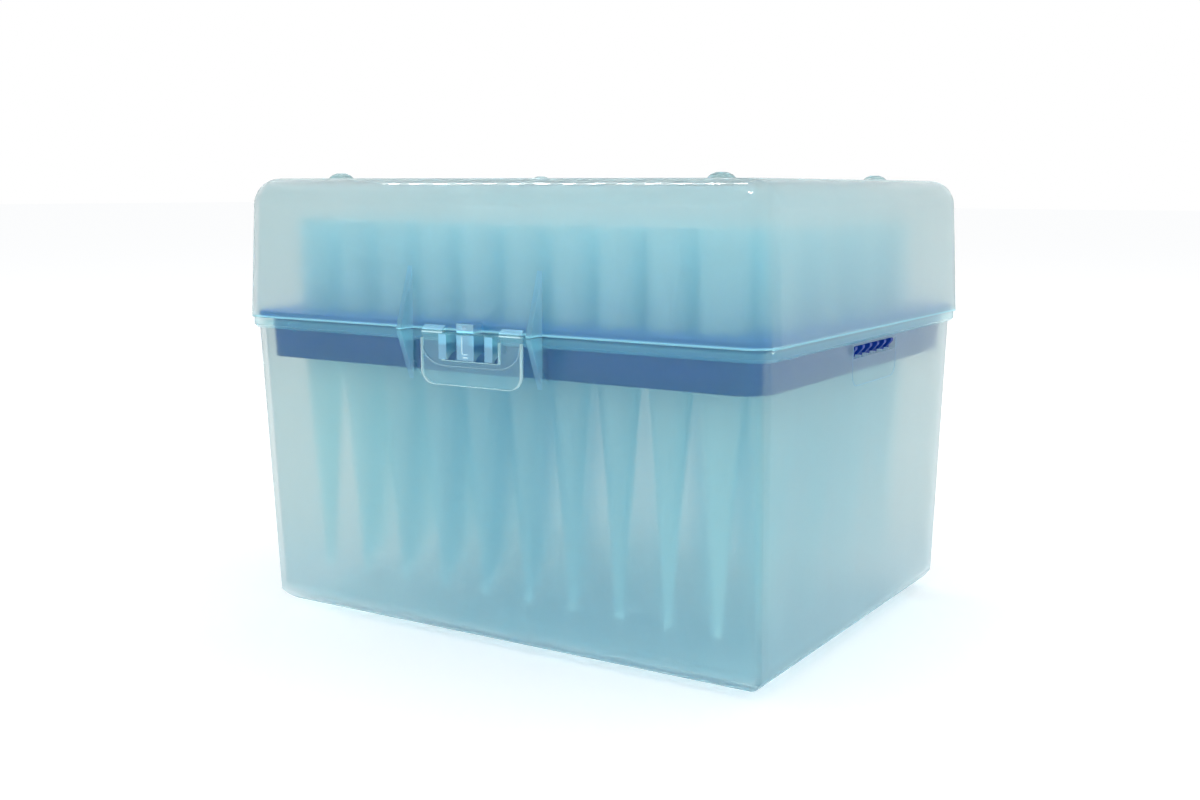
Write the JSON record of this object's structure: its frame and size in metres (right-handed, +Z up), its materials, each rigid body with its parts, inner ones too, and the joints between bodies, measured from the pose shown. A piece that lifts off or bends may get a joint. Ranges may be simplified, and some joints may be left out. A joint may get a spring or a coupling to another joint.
{
  "type": "box of pipette tips",
  "caption": "Frosted hinged rack box for large pipette tips, with a snap latch, a tip rack on the base's rim and rows of conical tips.",
  "frame": {"origin": "centre of the underside", "axes": "+X along the latch side, the latch faces -Y and the hinge is at +Y, +Z up"},
  "size_m": [0.115, 0.1057, 0.0872],
  "materials": {
    "base_shell": "frosted",
    "lid_shell": "frosted",
    "latch_clear": "clear",
    "rack_blue": "satin",
    "tip_natural": "natural"
  },
  "bodies": {
    "base": {"base": "base_shell", "tip_rack": "rack_blue", "tips_a_left": "tip_natural", "tips_a_right": "tip_natural", "tips_b_left": "tip_natural", "tips_b_right": "tip_natural", "tips_c_left": "tip_natural", "tips_c_right": "tip_natural", "tips_d_left": "tip_natural", "tips_d_right": "tip_natural", "tips_e_left": "tip_natural", "tips_e_right": "tip_natural", "tips_f_left": "tip_natural", "tips_f_right": "tip_natural", "tips_g_left": "tip_natural", "tips_g_right": "tip_natural", "tips_h_left": "tip_natural", "tips_h_right": "tip_natural", "tips_i_left": "tip_natural", "tips_i_right": "tip_natural"},
    "lid": {"lid": "lid_shell"},
    "latch": {"latch": "latch_clear"}
  },
  "joints": [
    {"name": "lid_hinge", "type": "hinge", "parent": "base", "child": "lid", "pos_m": [0, 0.0512, 0.0592], "axis": [-1, 0, 0], "range_deg": [0, 105]},
    {"name": "latch_hinge", "type": "hinge", "parent": "lid", "child": "latch", "pos_m": [0, -0.0488, 0.05855], "axis": [-1, 0, 0], "range_deg": [0, 110]}
  ]
}
